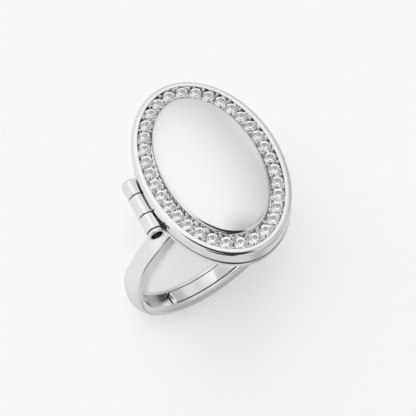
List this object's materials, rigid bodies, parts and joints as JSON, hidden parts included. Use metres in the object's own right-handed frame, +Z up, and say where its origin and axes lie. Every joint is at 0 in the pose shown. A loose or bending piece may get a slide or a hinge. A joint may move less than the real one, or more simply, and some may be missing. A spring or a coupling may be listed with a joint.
{
  "type": "locket ring",
  "caption": "Finger ring with an oval hinged locket, a border of set stones round its smooth domed lid, and an adjustable band that slides in itself.",
  "frame": {"origin": "middle of the bounding box's underside, on the surface that the ring lies on", "axes": "+Z up; +Y the level direction that the locket faces, leaning 18.5 degrees up from it; +X to the side away from the hinge. The ring lies on its side as it rests by itself."},
  "size_m": [0.0196, 0.026, 0.0175],
  "materials": {
    "metal": "mirror-polished silver",
    "stones": "clear cut stones"
  },
  "bodies": {
    "base": {"ring_body": "metal", "hinge_pin": "metal"},
    "lid": {"lid": "metal", "stone_row": "stones"}
  },
  "joints": [
    {"name": "lid_hinge", "type": "hinge", "parent": "base", "child": "lid", "pos_m": [-0.00607, 0.00927, 0.00679], "axis": [-0.3007, -0.3023, 0.9045], "range_deg": [0, 120]}
  ]
}
